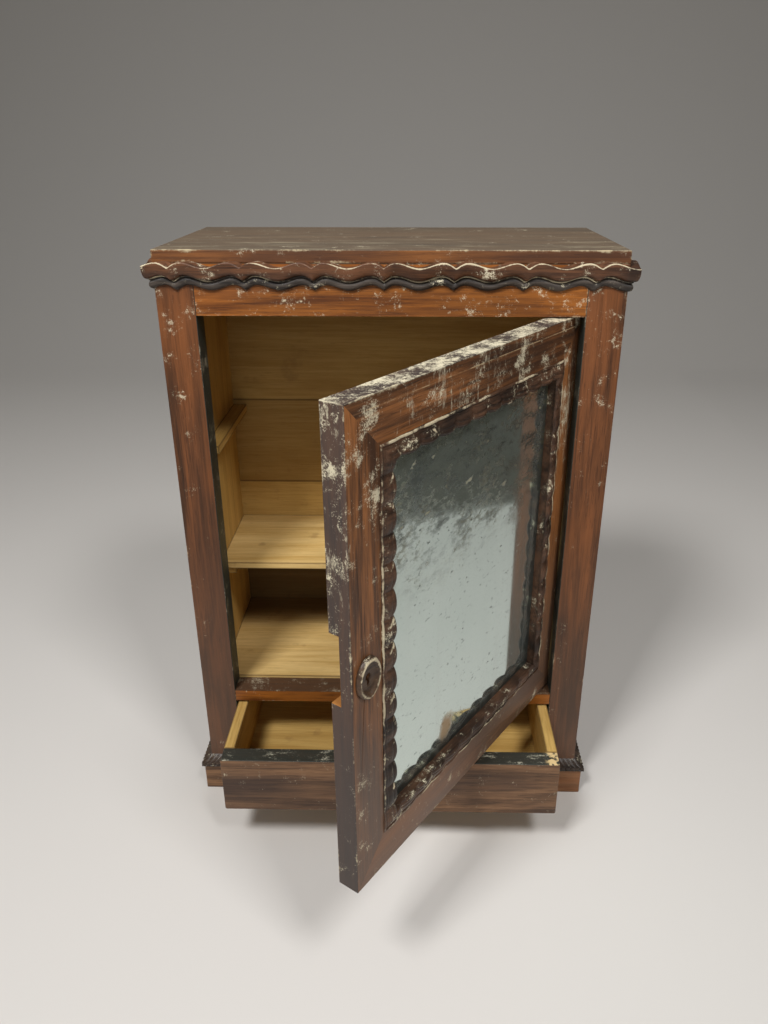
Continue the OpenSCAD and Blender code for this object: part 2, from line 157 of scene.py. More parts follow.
def new_group(name, inputs, outputs):
    """A shader node group with named sockets: its graph, its input node and its output node."""
    tree = bpy.data.node_groups.new(name, "ShaderNodeTree")
    kinds = {"value": "NodeSocketFloat", "vector": "NodeSocketVector", "colour": "NodeSocketColor"}
    for label, kind, value in inputs:
        socket = tree.interface.new_socket(label, in_out="INPUT", socket_type=kinds[kind])
        if value is not None:
            socket.default_value = value
    for label, kind in outputs:
        tree.interface.new_socket(label, in_out="OUTPUT", socket_type=kinds[kind])
    graph = Graph(tree)
    return graph, graph.add("NodeGroupInput").outputs, graph.add("NodeGroupOutput").inputs


def make_grain():
    """Wood grain on a vector whose X runs along the board: wide figure, fine fibres and short dark pores."""
    graph, given, out = new_group(
        "grain",
        [("Vector", "vector", None), ("Light", "colour", None), ("Dark", "colour", None), ("Pores", "value", 0.5)],
        [("Color", "colour"), ("Height", "value"), ("Figure", "value")],
    )
    wide = graph.vector("MULTIPLY", given["Vector"], (3.2, 34, 34))
    fine = graph.vector("MULTIPLY", given["Vector"], (14, 420, 420))
    short = graph.vector("MULTIPLY", given["Vector"], (75, 1500, 1500))
    figure = graph.noise(wide, 1, 5, 0.62, 1.4)
    fibre = graph.noise(fine, 1, 3, 0.6)
    pore = graph.step(graph.noise(short, 1, 1, 0.5), 0.58, 0.7)
    share = graph.math("ADD", graph.math("MULTIPLY", figure, 1.25), graph.math("MULTIPLY", fibre, 0.75))
    tone = graph.step(share, 0.72, 1.28)
    colour = graph.mix(tone, given["Dark"], given["Light"])
    darker = graph.mix(graph.math("MULTIPLY", pore, given["Pores"]), colour, (0.25, 0.22, 0.2, 1), "MULTIPLY")
    height = graph.math("SUBTRACT", graph.math("MULTIPLY", fibre, 0.6), graph.math("MULTIPLY", pore, 0.5))
    graph.feed(out["Color"], darker)
    graph.feed(out["Height"], height)
    graph.feed(out["Figure"], figure)
    return graph.tree


def make_board():
    """How far a point of a board is from its nearest arris, and which of its six faces it is on."""
    faces = [("Left", "Right"), ("Front", "Back"), ("Foot", "Top")]
    graph, given, out = new_group(
        "board",
        [("Vector", "vector", None), ("Low", "vector", None), ("High", "vector", None)],
        [("Arris", "value")] + [(label, "value") for pair in faces for label in pair],
    )
    below = graph.add("SeparateXYZ", {0: graph.vector("SUBTRACT", given["Vector"], given["Low"])}).outputs
    above = graph.add("SeparateXYZ", {0: graph.vector("SUBTRACT", given["High"], given["Vector"])}).outputs
    near = []
    for axis, pair in enumerate(faces):
        graph.feed(out[pair[0]], graph.step(below[axis], 0.0009, 0.0004))
        graph.feed(out[pair[1]], graph.step(above[axis], 0.0009, 0.0004))
        near.append(graph.math("MINIMUM", below[axis], above[axis]))
    low = graph.math("MINIMUM", near[0], near[1])
    high = graph.math("MAXIMUM", near[0], near[1])
    middle = graph.math("MAXIMUM", low, graph.math("MINIMUM", high, near[2]))
    graph.feed(out["Arris"], middle)
    return graph.tree


def make_flecks():
    """Mask of pale flecks: fine grit inside coarse clouds. A higher amount widens the clouds."""
    graph, given, out = new_group(
        "flecks",
        [("Vector", "vector", None), ("Size", "value", 0.01), ("Amount", "value", 0.1)],
        [("Mask", "value")],
    )
    scale = graph.math("DIVIDE", 1.0, given["Size"])
    cloud = graph.noise(given["Vector"], graph.math("MULTIPLY", scale, 0.3), 3, 0.6)
    middle = graph.noise(given["Vector"], graph.math("MULTIPLY", scale, 1.4), 4, 0.7)
    grit = graph.noise(given["Vector"], graph.math("MULTIPLY", scale, 5.5), 3, 0.75)
    score = graph.math("ADD", graph.math("MULTIPLY", cloud, 1.0), graph.math("MULTIPLY", middle, 0.75))
    score = graph.math("ADD", score, graph.math("MULTIPLY", grit, 0.75))
    score = graph.math("ADD", score, given["Amount"])
    graph.feed(out["Mask"], graph.step(score, 1.46, 1.66))
    return graph.tree


def make_rub():
    """Mask of a rubbed edge: strongest at the edge, gone at the width, and broken up by noise."""
    graph, given, out = new_group(
        "rub",
        [("Vector", "vector", None), ("Distance", "value", 0.0), ("Width", "value", 0.003), ("Amount", "value", 0.5)],
        [("Mask", "value")],
    )
    near = graph.math("SUBTRACT", 1.0, graph.math("DIVIDE", given["Distance"], given["Width"]))
    near = graph.math("MAXIMUM", near, 0.0)
    fine = graph.noise(given["Vector"], 420, 4, 0.75)
    coarse = graph.noise(given["Vector"], 34, 4, 0.65)
    score = graph.math("ADD", graph.math("MULTIPLY", fine, 0.8), graph.math("MULTIPLY", coarse, 1.5))
    score = graph.math("ADD", score, graph.math("MULTIPLY", near, 0.5))
    score = graph.math("ADD", score, given["Amount"])
    inside = graph.step(near, 0.0, 0.4)
    graph.feed(out["Mask"], graph.math("MULTIPLY", graph.step(score, 1.72, 2.05), inside))
    return graph.tree


GRAIN, BOARD, FLECKS, RUB = make_grain(), make_board(), make_flecks(), make_rub()


class Finish(Graph):
    """One material: layers of colour and roughness on a Principled shader, from object coordinates.

    A door's finish turns the coordinates back to the closed door, so that the grain and masks line up.
    """

    def __init__(self, name, body="case", along="z", shift=0.0):
        material = bpy.data.materials.new(name)
        material.use_nodes = True
        super().__init__(material.node_tree)
        self.tree.nodes.clear()
        self.material = material
        self.shader = self.add("BsdfPrincipled")
        self.shader.inputs["Specular IOR Level"].default_value = 0.32
        self.add("OutputMaterial", {0: self.shader.outputs[0]})
        place = self.add("TexCoord").outputs["Object"]
        if body == "door":
            origin = turned(np.zeros((1, 3)), -DOOR_TURN)[0]
            place = self.add("Mapping", {0: place, 1: tuple(origin), 2: (0, 0, -DOOR_TURN)}).outputs[0]
        self.place = place
        self.xyz = self.add("SeparateXYZ", {0: place}).outputs
        order = {"x": (0, 1, 2), "y": (1, 0, 2), "z": (2, 0, 1)}[along]
        parts = {i: self.xyz[axis] for i, axis in enumerate(order)}
        joined = self.add("CombineXYZ", parts).outputs[0]
        self.grain_place = self.vector("ADD", joined, (shift, shift * 0.31, shift * 0.17))
        self.colour = None
        self.roughness = None
        self.height = None

    def wood(self, light, dark, pores=0.5, roughness=0.55):
        made = self.use(GRAIN, {"Vector": self.grain_place, "Light": light, "Dark": dark, "Pores": pores})
        self.colour = made.outputs["Color"]
        self.height = made.outputs["Height"]
        self.roughness = self.blend(made.outputs["Figure"], roughness - 0.08, roughness + 0.1)
        return self

    def paint(self, mask, colour, roughness=None):
        self.colour = self.mix(mask, self.colour, colour)
        if roughness is not None:
            self.roughness = self.blend(mask, self.roughness, roughness)
        return self

    def patches(self, scale, low, high, colour, amount=1.0, stretch=(1, 1, 1)):
        """Cloudy patches of another tone, with the noise stretched along the grain."""
        where = self.vector("MULTIPLY", self.grain_place, stretch)
        return self.paint(self.step(self.noise(where, scale, 3, 0.6), low, high, 0.0, amount), colour)

    def all(self, *masks):
        total = masks[0]
        for mask in masks[1:]:
            total = self.math("MULTIPLY", total, mask)
        return total

    def done(self, bump=0.25, distance=0.0004):
        self.feed(self.shader.inputs["Base Color"], self.colour)
        self.feed(self.shader.inputs["Roughness"], self.roughness)
        if self.height is not None:
            inputs = {"Strength": bump, "Distance": distance, "Height": self.height}
            self.feed(self.shader.inputs["Normal"], self.add("Bump", inputs).outputs[0])
        return self.material


# ---------- finishes ----------

CREAM = srgb(226, 216, 186)
GREEN_BLACK = srgb(44, 50, 46)
# light and dark tone of each wood
WALNUT = (srgb(117, 70, 38), srgb(56, 34, 19))
ORANGE = (srgb(168, 100, 34), srgb(94, 50, 16))
UMBER = (srgb(140, 104, 74), srgb(76, 54, 38))
HONEY = (srgb(206, 170, 100), srgb(176, 138, 72))
PALE_HONEY = (srgb(226, 194, 130), srgb(196, 160, 94))


def board_faces(finish, node):
    low, high = closed_box(node)
    return finish.use(BOARD, {"Vector": finish.place, "Low": tuple(low), "High": tuple(high)}).outputs


def worn(finish, node, rub=0.1, rub_width=0.004, fleck=0.06, fleck_size=0.006, rub_colour=None):
    """Rubbed arrises and pale flecks on a board. Returns the board's face masks."""
    faces = board_faces(finish, node)
    mask = finish.use(RUB, {"Vector": finish.place, "Distance": faces["Arris"], "Width": rub_width, "Amount": rub})
    finish.paint(mask.outputs[0], rub_colour or srgb(176, 150, 118), 0.7)
    flecks = finish.use(FLECKS, {"Vector": finish.place, "Size": fleck_size, "Amount": fleck})
    finish.paint(finish.math("MULTIPLY", flecks.outputs[0], 0.7), CREAM, 0.8)
    return faces


def dull_low(finish):
    """The stain gets greyer and darker towards the floor."""
    return finish.paint(finish.step(finish.xyz[2], 0.36, 0.02, 0.0, 0.6), srgb(94, 76, 64))


def frame_board(node, tones, along, shift, high_flecks=0.072):
    """Stained board of the face frame, flecked near the top. Returns the finish and the board's face masks, which the
    stiles use for their dark inner faces.
    """
    finish = Finish("stain_" + node, along=along, shift=shift).wood(*tones, roughness=0.5)
    finish.patches(5, 0.5, 0.75, srgb(70, 44, 28), 0.5, stretch=(0.5, 2, 2))
    finish.patches(9, 0.5, 0.7, srgb(146, 86, 42), 0.5, stretch=(0.4, 2, 2))
    if along == "z":
        dull_low(finish)
    amount = finish.step(finish.xyz[2], 0.25, 0.56, -0.04, high_flecks)
    faces = worn(finish, node, rub=0.02, rub_width=0.003, fleck=amount, fleck_size=0.0045)
    return finish, faces


def stile(node, shift, inner):
    finish, faces = frame_board(node, WALNUT, "z", shift)
    finish.paint(faces[inner], GREEN_BLACK, 0.5)
    scuffs = finish.use(FLECKS, {"Vector": finish.place, "Size": 0.007, "Amount": 0.13})
    finish.paint(finish.all(scuffs.outputs[0], faces[inner]), srgb(140, 134, 116), 0.8)
    return finish.done()


def rail(node, shift):
    finish, faces = frame_board(node, ORANGE, "x", shift)
    finish.paint(finish.math("MULTIPLY", faces["Top"], 0.85), srgb(66, 50, 36), 0.75)
    scuffs = finish.use(FLECKS, {"Vector": finish.place, "Size": 0.006, "Amount": 0.14})
    finish.paint(finish.all(scuffs.outputs[0], faces["Top"]), srgb(150, 138, 116), 0.8)
    return finish.done()


def side_panel(node, shift, inner):
    """Stained outside, bare inside."""
    finish, faces = frame_board(node, WALNUT, "z", shift, 0.05)
    made = finish.use(GRAIN, {"Vector": finish.grain_place, "Light": HONEY[0], "Dark": HONEY[1], "Pores": 0.25})
    finish.colour = finish.mix(faces[inner], finish.colour, made.outputs["Color"])
    return finish.done()


def top_finish(node):
    """Dusty grey on top with pale scuffs along the grain, brown on the edges."""
    finish = Finish("stain_top", along="x", shift=4.2).wood(srgb(148, 92, 44), srgb(84, 48, 22), roughness=0.6)
    finish.patches(6, 0.45, 0.65, srgb(70, 46, 34), 0.8, stretch=(0.5, 2, 2))
    faces = board_faces(finish, node)
    top = faces["Top"]
    finish.paint(finish.math("MULTIPLY", top, 0.88), srgb(98, 86, 71), 0.85)
    streaks = finish.vector("MULTIPLY", finish.place, (14, 90, 14))
    light = finish.step(finish.noise(streaks, 1, 5, 0.65), 0.5, 0.72)
    finish.paint(finish.all(light, top, finish.step(finish.xyz[1], 0.15, -0.01, 0.15, 0.8)), srgb(160, 148, 122), 0.9)
    dark = finish.step(finish.noise(streaks, 0.6, 4, 0.6), 0.56, 0.7, 0.0, 0.7)
    finish.paint(finish.all(dark, top), srgb(74, 66, 58), 0.8)
    worn(finish, node, rub=0.14, rub_width=0.004, fleck=0.03, rub_colour=srgb(176, 160, 128))
    return finish.done()


def bare_wood(node, along, shift, tones=HONEY, body="case", shade=0.0):
    """Bare softwood: pale bands, few pores, a little dirt, and dark lines along the joints."""
    finish = Finish("bare_" + node, body=body, along=along, shift=shift).wood(*tones, pores=0.22, roughness=0.72)
    if shade:
        finish.colour = finish.mix(shade, finish.colour, srgb(112, 82, 40))
    finish.patches(4, 0.42, 0.72, srgb(160, 124, 62), 0.4, stretch=(0.5, 1.5, 1.5))
    finish.patches(38, 0.6, 0.75, srgb(132, 98, 56), 0.4)
    arris = finish.step(board_faces(finish, node)["Arris"], 0.0016, 0.0004, 0.0, 0.6)
    return finish.paint(arris, srgb(74, 50, 26))


def bare(node, along, shift, tones=HONEY, body="case"):
    return bare_wood(node, along, shift, tones, body).done(0.15)


def dark_corner(finish):
    """Dark tone painted into the back corner of the lowest compartment, for the dirt there and for the shelf's
    shade, which the soft lights don't give."""
    shelf_low, _ = closed_box("shelf")
    under = finish.step(finish.xyz[2], shelf_low[2] + 4 * MM, shelf_low[2])
    deep = finish.step(finish.xyz[1], BACK_Y - 85 * MM, BACK_Y - 30 * MM)
    return finish.paint(finish.all(under, deep, 0.8), srgb(62, 42, 20))


def door_member(node, along, shift):
    """Door frame: dark stain, blackened edge, cream patches on the outer edges and down the face."""
    finish = Finish("stain_" + node, body="door", along=along, shift=shift).wood(
        srgb(156, 100, 56), srgb(70, 46, 31), roughness=0.45)
    finish.patches(6, 0.5, 0.66, srgb(50, 36, 28), 0.75, stretch=(0.45, 2, 2))
    finish.patches(7, 0.52, 0.7, srgb(166, 100, 38), 0.6, stretch=(0.35, 2.5, 2.5))
    low = finish.step(finish.xyz[2], 0.34, 0.2)
    finish.paint(finish.math("MULTIPLY", low, 0.6), srgb(104, 86, 74))
    upper = finish.step(finish.xyz[2], 0.26, 0.5)
    amount = finish.math("ADD", 0.03, finish.math("MULTIPLY", upper, 0.1))
    door_low, stile_high = closed_box("door_stile_free")
    _, rail_high = closed_box("door_rail_top")
    door_high = (rail_high[0], stile_high[1], stile_high[2])
    faces = finish.use(BOARD, {"Vector": finish.place, "Low": tuple(door_low), "High": door_high}).outputs
    outer = finish.math("MAXIMUM", faces["Left"], finish.math("MAXIMUM", faces["Top"], faces["Right"]))
    finish.paint(finish.math("MULTIPLY", outer, 0.85), srgb(62, 56, 54), 0.6)
    amount = finish.math("ADD", amount, finish.math("MULTIPLY", faces["Top"], 0.13))
    amount = finish.math("ADD", amount, finish.all(faces["Left"], upper, 0.03))
    small = finish.use(FLECKS, {"Vector": finish.place, "Size": 0.007, "Amount": amount})
    finish.paint(finish.math("MULTIPLY", small.outputs[0], 0.8), CREAM, 0.85)
    runs = finish.vector("MULTIPLY", finish.place, (1, 1, 0.35))
    big = finish.use(FLECKS, {"Vector": runs, "Size": 0.016, "Amount": finish.math("SUBTRACT", amount, 0.03)})
    finish.paint(finish.math("MULTIPLY", big.outputs[0], 0.6), srgb(214, 204, 176), 0.85)
    mask = finish.use(RUB, {"Vector": finish.place, "Distance": faces["Arris"], "Width": 0.0045, "Amount": 0.1})
    finish.paint(mask.outputs[0], srgb(206, 192, 160), 0.8)
    if node == "door_rail_top":
        below = finish.math("SUBTRACT", float(rail_high[2]), finish.xyz[2])
        line = finish.step(finish.math("ABSOLUTE", finish.math("SUBTRACT", below, 8.6 * MM)), 0.5 * MM, 0.2 * MM)
        rough = finish.step(finish.noise(finish.place, 45, 4, 0.7), 0.42, 0.56, 0.1, 0.7)
        finish.paint(finish.all(line, rough, faces["Front"]), srgb(196, 168, 128), 0.8)
    return finish


KEY_UP = 193.5 * MM


def lock_break(finish):
    """Bare wood where the lock's recess is broken out of the free stile."""
    low, _ = closed_box("door_stile_free")
    key = low[2] + KEY_UP
    inside = finish.all(
        finish.step(finish.xyz[1], low[1] + 9.6 * MM, low[1] + 9.9 * MM),
        finish.step(finish.xyz[0], low[0] + 28.4 * MM, low[0] + 28.1 * MM),
        finish.step(finish.xyz[2], key - 20.5 * MM, key - 20.1 * MM),
        finish.step(finish.xyz[2], key + 37.6 * MM, key + 37.2 * MM),
    )
    return finish.paint(inside, srgb(156, 104, 50), 0.8)


def dark_moulding(name, pale, base, deep, body="case"):
    """Nearly black moulding, pale where the piece's own rub value is high: rubbed wear, and on the ripple lobes'
    shoulders and the thick bead's crest a painted highlight as well.
    """
    finish = Finish(name, body=body, along="x", shift=2.7).wood(srgb(*base), srgb(*deep), roughness=0.38)
    finish.patches(14, 0.5, 0.66, srgb(26, 22, 20), 0.7)
    rub_and_highlight = finish.add("Attribute", attribute_name="rub").outputs["Fac"]
    fine = finish.noise(finish.place, 260, 5, 0.7)
    coarse = finish.noise(finish.place, 30, 2, 0.5)
    score = finish.math("ADD", finish.math("MULTIPLY", rub_and_highlight, 0.6), finish.math("MULTIPLY", fine, 0.9))
    score = finish.math("ADD", score, finish.math("MULTIPLY", coarse, 1.4))
    mask = finish.step(score, 1.8 - pale, 2.05 - pale)
    finish.paint(mask, srgb(196, 182, 152), 0.7)
    flecks = finish.use(FLECKS, {"Vector": finish.place, "Size": 0.005, "Amount": 0.08})
    finish.paint(flecks.outputs[0], CREAM, 0.8)
    return finish


def mirror_finish():
    """Old silvered glass: clear in the middle with a thin haze, dark specks drawn out sideways, grey foxing over
    the upper part, a green-black rim where the silver is gone, and a tan stain low down."""
    finish = Finish("foxed_mirror", body="door")
    low, high = closed_box("mirror_glass")
    place = finish.place
    finish.colour = finish.mix(finish.noise(place, 12, 4), srgb(214, 226, 221), srgb(194, 208, 203))
    finish.roughness = finish.blend(finish.noise(place, 30, 4), 0.02, 0.09)
    wide = finish.vector("MULTIPLY", place, (0.55, 1, 1))
    specks = finish.step(finish.noise(wide, 380, 3, 0.55), 0.6, 0.68)
    specks = finish.all(specks, finish.step(finish.noise(wide, 55, 3, 0.6), 0.4, 0.58))
    upper = finish.step(finish.xyz[2], low[2] + 0.5 * (high[2] - low[2]), low[2] + 0.8 * (high[2] - low[2]))
    cloud = finish.noise(wide, 60, 6, 0.75)
    fox = finish.step(cloud, 0.46, 0.64, 0.0, 0.7)
    from_left = finish.math("SUBTRACT", finish.xyz[0], low[0])
    from_right = finish.math("SUBTRACT", high[0], finish.xyz[0])
    near = finish.math("MINIMUM", from_left, from_right)
    near = finish.math("MINIMUM", near, finish.math("SUBTRACT", finish.xyz[2], low[2]))
    wander = finish.math("MULTIPLY", finish.math("SUBTRACT", finish.noise(place, 40, 4, 0.6), 0.5), 0.03)
    rim = finish.step(finish.math("ADD", near, wander), 0.024, 0.016)
    loss = finish.math("MAXIMUM", finish.math("MULTIPLY", specks, 0.5), finish.math("MULTIPLY", fox, upper))
    loss = finish.math("MAXIMUM", loss, finish.math("MULTIPLY", rim, 0.8))
    finish.paint(loss, srgb(34, 38, 33), 0.5)
    haze = finish.step(finish.noise(finish.vector("MULTIPLY", place, (60, 60, 3)), 1, 4, 0.6), 0.5, 0.75, 0.0, 0.3)
    finish.paint(haze, srgb(196, 204, 200))
    mottle = finish.step(finish.noise(wide, 260, 5, 0.72), 0.45, 0.6, 0.0, 0.5)
    mottle = finish.all(mottle, finish.step(finish.noise(place, 22, 3, 0.6), 0.4, 0.62), upper)
    finish.paint(mottle, srgb(140, 132, 94), 0.75)
    spots = finish.step(finish.noise(wide, 120, 3, 0.5), 0.66, 0.71, 0.0, 0.85)
    finish.paint(finish.all(spots, upper), srgb(206, 202, 178), 0.8)
    centre = (low[0] + 0.1, low[1], low[2] + 0.03)
    away = finish.add("VectorMath", {0: place, 1: centre}, operation="DISTANCE").outputs["Value"]
    stain = finish.step(finish.math("ADD", away, wander), 0.016, 0.006)
    finish.paint(finish.math("MULTIPLY", stain, 0.75), srgb(176, 136, 84), 0.6)
    finish.shader.inputs["Metallic"].default_value = 0.9
    return finish.done()


def iron_finish():
    """Dull old iron with rust in patches."""
    finish = Finish("old_iron")
    finish.colour = finish.mix(finish.noise(finish.place, 120, 4), srgb(70, 66, 62), srgb(44, 40, 38))
    finish.roughness = finish.blend(finish.noise(finish.place, 60, 3), 0.45, 0.75)
    rust = finish.step(finish.noise(finish.place, 200, 4, 0.65), 0.52, 0.68)
    finish.paint(rust, srgb(104, 62, 38), 0.85)
    finish.shader.inputs["Metallic"].default_value = 0.7
    return finish.done()


# ---------- surfaces ----------

# the cornice's wave, the furthest it stands out, and the ribs over the plinth
WAVE_PITCH = 60.2 * MM
WAVE_H = 4.4 * MM
CUSP_X = -5 * MM
WAVE_OUT = 7.4 * MM
RIB_PITCH = 5.2 * MM

# the ripple moulding: its place on the door, its width, and its lobes
DOOR_FLAT = 34 * MM
RIPPLE_W = 15 * MM
RIPPLE_PITCH = 21.8 * MM
RIPPLE_OUT = 4 * MM
RIPPLE_NOTCH = 1 * MM
MIRROR_SET = 7 * MM


def solid(name, sections, node, rub=None):
    """A closed surface from a grid of points [row, column, 3]: every row is a closed outline, and the two
    end rows are capped. The faces are turned outwards by the sign of the enclosed volume."""
    rows, columns = sections.shape[:2]
    i = np.arange(rows - 1)[:, None]
    j = np.arange(columns)[None, :]
    k = (j + 1) % columns
    corners = (i * columns + j, i * columns + k, (i + 1) * columns + k, (i + 1) * columns + j)
    quads = np.stack(np.broadcast_arrays(*corners), -1).reshape(-1, 4)
    points = sections.reshape(-1, 3)
    a, b, c, d = (points[quads[:, n]] for n in range(4))
    middle = points.mean(0)
    volume = np.einsum("ij,ij->", a - middle, np.cross(b - middle, c - middle) + np.cross(c - middle, d - middle))
    first = list(range(columns))[::-1]
    last = list(range((rows - 1) * columns, rows * columns))
    if volume < 0:
        quads = quads[:, ::-1]
        first.reverse()
        last.reverse()
    mesh = bpy.data.meshes.new(name)
    mesh.from_pydata(points.tolist(), [], quads.tolist() + [first, last])
    mesh.shade_smooth()
    if rub is not None:
        layer = mesh.attributes.new("rub", "FLOAT", "POINT")
        layer.data.foreach_set("value", np.ascontiguousarray(rub, np.float32).ravel())
    mesh.validate()
    piece = bpy.data.objects.new(name, mesh)
    bpy.context.scene.collection.objects.link(piece)
    mesh.set_sharp_from_angle(angle=math.radians(42))
    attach(piece, frame["nodes"][node]["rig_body"])
    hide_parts(node)
    return piece


def wave(x):
    """Height of the cornice's wavy line: sharp low cusps, a crest a sixth of a wave to each side, and a round
    trough half way. Up to the crest it is a sine, and past it a cosine."""
    turn = (x - CUSP_X) / WAVE_PITCH
    part = turn - np.floor(turn)
    near = np.minimum(part, 1 - part)
    rise = np.sin(3 * np.pi * near)
    fall = (1 + np.cos(3 * np.pi * (near - 1 / 6))) / 2
    return WAVE_H * np.where(near < 1 / 6, rise, fall)


def level(x):
    return 0 * x


def fascia_profile(count=22):
    """Out and up of the upper strip: a flat top with a rounded arris, a face that leans in to the foot as a
    quarter ellipse, and a flat back."""
    turn = np.linspace(0, np.pi / 2, 6)
    arris = np.stack([6.4 + 1.0 * np.sin(turn), 9.9 + 1.0 * np.cos(turn)], 1)
    drop = np.linspace(0, 1, count)[1:]
    face = np.stack([4.5 + 2.9 * np.sqrt(1 - drop**2.4), 9.9 * (1 - drop)], 1)
    back = np.array([[0.0, 0.0], [0.0, 10.9]])
    points = np.concatenate([arris, face, back]) * MM
    rub = np.zeros(len(points))
    rub[:8] = np.array([0.0, 0.2, 0.5, 0.8, 0.9, 0.7, 0.35, 0.1])
    return points, rub


def bead_profile(count=48):
    """Out and up of the lower strip: a thin ridge at the top, a groove, then one thick round bead, all on a face
    that leans in to the foot."""
    drop = np.linspace(0, 1, count)
    ridge = np.sin(np.pi * np.clip(drop / 0.2, 0, 1)) ** 0.6
    bead = np.sin(np.pi * np.clip((drop - 0.26) / 0.74, 0, 1)) ** 0.55
    out = 0.75 + 1.5 * (1 - drop) + 1.1 * ridge + 2.3 * bead * (0.55 + 0.45 * drop)
    face = np.stack([out, 8.4 * (1 - drop)], 1)
    back = np.array([[0.0, 0.0], [0.0, 8.4]])
    points = np.concatenate([face, back]) * MM
    # The rub value: rubbed wear along the thin ridge, and a faint painted highlight along the crest of the thick
    # bead.
    rub = np.concatenate([0.9 * ridge + 0.15 * bead**3, [0, 0]])
    return points, rub


def strip(side, profile, foot, step, height=wave, ripple=None):
    """A moulding along the front or a side of the case, mitred at the front corners. The profile's out and up are
    carried along, and up follows height() at the run: the distance from the middle of the front, measured along
    the strip's outermost line so that every line meets its neighbour at the mitre. Returns points and runs."""
    out, up = profile[:, 0], profile[:, 1]
    if side == "front":
        share = np.linspace(-1, 1, int(2 * HALF_W / step))[:, None]
        run = share * (HALF_W + WAVE_OUT) + 0 * out[None, :]
        across = out[None, :] - (ripple(run, up) if ripple else 0)
        points = (share * (HALF_W + out[None, :]), FRONT_Y - across, foot + up[None, :] + height(run))
        return np.stack(np.broadcast_arrays(*points), -1), run
    hand = -1 if side == "left" else 1
    length = BACK_Y - FRONT_Y
    share = np.linspace(0, 1, int(length / step))[:, None]
    run = HALF_W + WAVE_OUT + share * (length + WAVE_OUT) + 0 * out[None, :]
    if side == "left":
        run = run + 2 * CUSP_X
    y = FRONT_Y - out[None, :] + share * (length + out[None, :])
    across = out[None, :] - (ripple(run, up) if ripple else 0)
    points = (hand * (HALF_W + across), y, foot + up[None, :] + height(run))
    return np.stack(np.broadcast_arrays(*points), -1), run


def ribs(run, up):
    """Depth cut into the ribbed strip: round ribs side by side, deepest between them, fading at the top."""
    between = 1 - np.abs(np.sin(np.pi * run / RIB_PITCH)) ** 0.7
    fade = np.clip((9.3 * MM - up) / (2.5 * MM), 0, 1) * (up > 0.4 * MM)
    return 1.3 * MM * between * fade[None, :]


def rib_profile():
    """Out and up of the ribbed strip: an upright face with a round shoulder, then a hollow slope to the case."""
    upright = np.stack([np.full(7, 9.5), np.linspace(0, 4.2, 7)], 1)
    slope = np.linspace(0, 1, 14)[1:]
    hollow = np.stack([9.5 * (1 - slope**0.92), 4.2 + 5.3 * slope - 0.7 * np.sin(np.pi * slope)], 1)
    points = np.concatenate([upright, hollow, [[0.0, 0.0]]]) * MM
    rub = np.concatenate([np.full(7, 0.5), 0.5 - 0.5 * slope, [0]])
    return points, rub


def add_cornice_and_ribs():
    """The upper wavy strip, the lower beaded one and the ribbed strip over the plinth, on three sides each."""
    fascia, fascia_rub = fascia_profile()
    beads, bead_rub = bead_profile()
    ribbed, ribbed_rub = rib_profile()
    materials = {
        "wave": dark_moulding("cornice_stain", 0.32, (112, 74, 50), (56, 37, 27)).done(),
        "bead": dark_moulding("bead_polish", 0.3, (84, 74, 66), (30, 26, 24)).done(),
        "rib": dark_moulding("rib_polish", 0.06, (84, 68, 56), (34, 28, 24)).done(),
    }
    plans = [("wave", fascia, fascia_rub, wave, None, "moulding_wood", 1.2 * MM),
             ("bead", beads, bead_rub, wave, None, "dark_moulding", 1.2 * MM),
             ("rib", ribbed, ribbed_rub, level, ribs, "dark_moulding", 0.65 * MM)]
    for kind, profile, rub, height, ripple, slot, step in plans:
        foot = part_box(kind + "_front")[0].z
        for side in ("front", *SIDES):
            points, run = strip(side, profile, foot, step, height, ripple)
            values = np.broadcast_to(rub[None, :], points.shape[:2])
            if kind == "rib":
                values = values * np.abs(np.sin(np.pi * run / RIB_PITCH))
            piece = solid(f"{kind}_{side}_moulding", points, f"{kind}_{side}", values)
            piece.data.materials.append(materials[kind])


def lobes(s):
    """Height of the ripple moulding's wave at a run s from its first notch: round lobes between sharp notches."""
    return RIPPLE_NOTCH + (RIPPLE_OUT - RIPPLE_NOTCH) * np.abs(np.sin(np.pi * s / RIPPLE_PITCH)) ** 0.75


def ripple_face():
    """Across and share of full height over the moulding's face: an outer fillet, then a half ellipse with three
    reeds cut along it, and an upright inner side."""
    turn = np.linspace(0, 1, 64)
    across = 2.6 * MM + (RIPPLE_W - 2.6 * MM) * (1 - np.cos(np.pi * turn * 0.96)) / (1 - np.cos(np.pi * 0.96))
    share = np.sin(np.pi * turn**1.7 * 0.96) ** 0.6
    share = share * (0.8 + 0.2 * np.abs(np.sin(3.5 * np.pi * turn)) ** 0.6)
    fillet = np.array([[0.0, 0.0], [0.15, 0.3], [0.6, 0.4], [1.7, 0.4], [2.3, 0.32], [2.6, 0.06]])
    across = np.concatenate([fillet[:, 0] * MM, across[1:]])
    share = np.concatenate([fillet[:, 1], share[1:]])
    rub = np.concatenate([[0.2, 0.8, 0.9, 0.8, 0.3, 0.0], 0.3 * share[6:]])
    return across, share, rub


